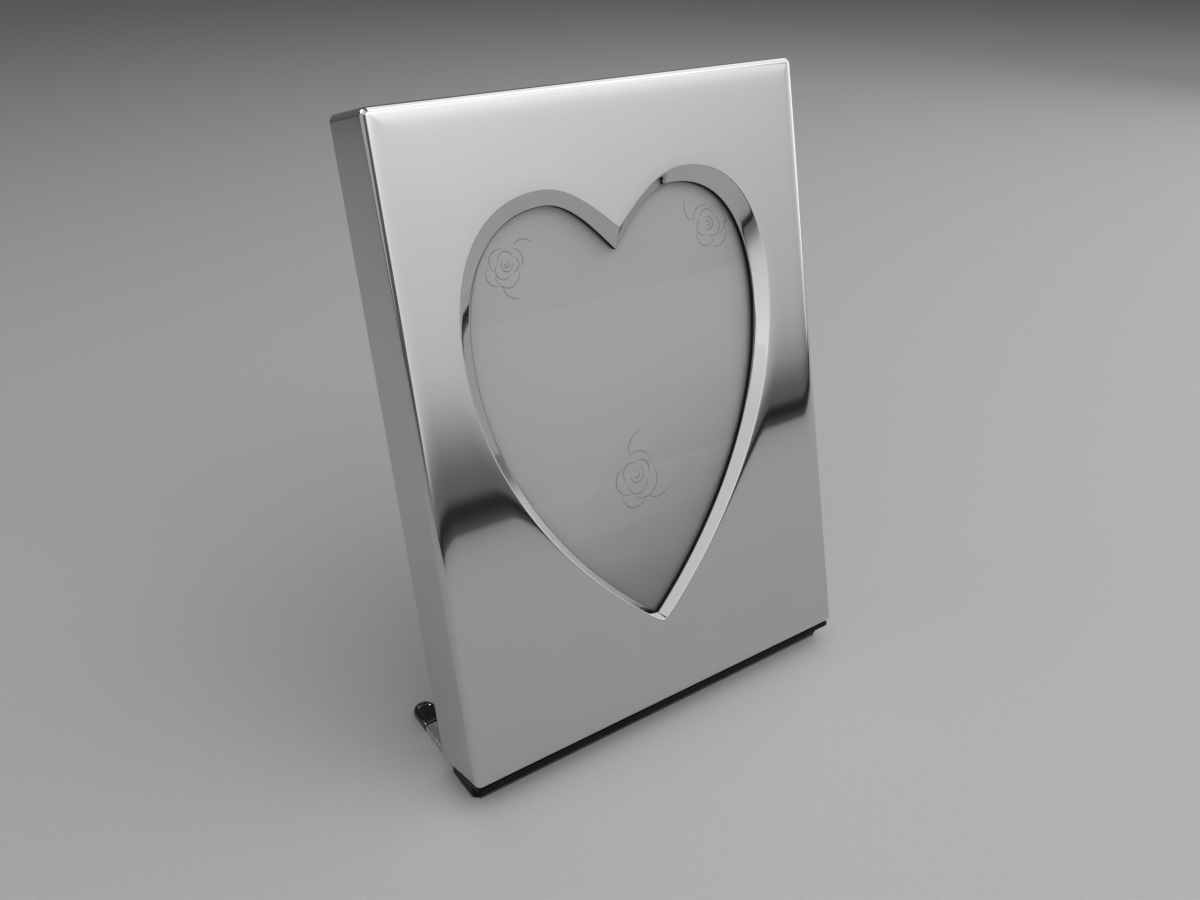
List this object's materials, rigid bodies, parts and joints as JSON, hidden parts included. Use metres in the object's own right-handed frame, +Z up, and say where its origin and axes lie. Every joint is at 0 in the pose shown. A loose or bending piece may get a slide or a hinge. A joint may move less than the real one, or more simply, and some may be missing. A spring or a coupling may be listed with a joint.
{
  "type": "photo frame",
  "caption": "Standing photo frame: deep mirror-polished body with a bevelled heart opening, leaning back on a black base block with two swing-out legs.",
  "frame": {"origin": "on the floor, under the middle of the base block, on the line through both leg pivots", "axes": "+Z up, -Y towards the viewer of the picture, +X to the viewer's right"},
  "size_m": [0.165, 0.0794, 0.219],
  "materials": {
    "silver_plate": "bright silver plate, lacquered",
    "gasket_black": "matt black",
    "glass": "clear",
    "insert_print": "satin print",
    "grey_board": "uncoated",
    "corrugated_board": "uncoated",
    "carcass_wood": "planed, unfinished",
    "panel_board": "hardboard",
    "velvet": "short pile velvet",
    "zinc_steel": "bright zinc",
    "leg_steel": "polished",
    "block_black": "gloss black lacquer",
    "felt": "pressed felt",
    "tip_black": "gloss"
  },
  "bodies": {
    "frame_body": {"shell": "silver_plate", "glass_gasket": "gasket_black", "glass_pane": "glass", "photo_insert": "insert_print", "backing_card": "grey_board", "packing_pad": "corrugated_board", "rail_top": "carcass_wood", "rail_bottom": "carcass_wood", "rail_left": "carcass_wood", "rail_right": "carcass_wood", "velvet_surround": "velvet", "back_panel": "panel_board", "panel_velvet": "velvet", "turn_button_washers": "zinc_steel", "turn_button_screws": "zinc_steel", "base_block": "block_black", "base_felt": "felt", "base_screws": "zinc_steel", "leg_washers": "zinc_steel", "leg_rivets": "zinc_steel"},
    "turn_button_top": {"turn_button_top": "zinc_steel"},
    "turn_button_bottom": {"turn_button_bottom": "zinc_steel"},
    "turn_button_left_upper": {"turn_button_left_upper": "zinc_steel"},
    "turn_button_left_lower": {"turn_button_left_lower": "zinc_steel"},
    "turn_button_right_upper": {"turn_button_right_upper": "zinc_steel"},
    "turn_button_right_lower": {"turn_button_right_lower": "zinc_steel"},
    "leg_left": {"leg_left": "leg_steel", "leg_tip_left": "tip_black"},
    "leg_right": {"leg_right": "leg_steel", "leg_tip_right": "tip_black"}
  },
  "joints": [
    {"name": "turn_button_top_swing", "type": "hinge", "parent": "frame_body", "child": "turn_button_top", "pos_m": [0, 0.0611, 0.20442], "axis": [0, 0.9659, -0.2588], "range_deg": [-110, 110]},
    {"name": "turn_button_bottom_swing", "type": "hinge", "parent": "frame_body", "child": "turn_button_bottom", "pos_m": [0, 0.01005, 0.01389], "axis": [0, 0.9659, -0.2588], "range_deg": [-110, 110]},
    {"name": "turn_button_left_upper_swing", "type": "hinge", "parent": "frame_body", "child": "turn_button_left_upper", "pos_m": [-0.07275, 0.04852, 0.15745], "axis": [0, 0.9659, -0.2588], "range_deg": [-110, 110]},
    {"name": "turn_button_left_lower_swing", "type": "hinge", "parent": "frame_body", "child": "turn_button_left_lower", "pos_m": [-0.07275, 0.02264, 0.06086], "axis": [0, 0.9659, -0.2588], "range_deg": [-110, 110]},
    {"name": "turn_button_right_upper_swing", "type": "hinge", "parent": "frame_body", "child": "turn_button_right_upper", "pos_m": [0.07275, 0.04852, 0.15745], "axis": [0, 0.9659, -0.2588], "range_deg": [-110, 110]},
    {"name": "turn_button_right_lower_swing", "type": "hinge", "parent": "frame_body", "child": "turn_button_right_lower", "pos_m": [0.07275, 0.02264, 0.06086], "axis": [0, 0.9659, -0.2588], "range_deg": [-110, 110]},
    {"name": "leg_left_swing", "type": "hinge", "parent": "frame_body", "child": "leg_left", "pos_m": [-0.0755, 0, 0.0016], "axis": [0, 0, 1], "range_deg": [-90, 0]},
    {"name": "leg_right_swing", "type": "hinge", "parent": "frame_body", "child": "leg_right", "pos_m": [0.0755, 0, 0.0016], "axis": [0, 0, 1], "range_deg": [0, 90]}
  ]
}
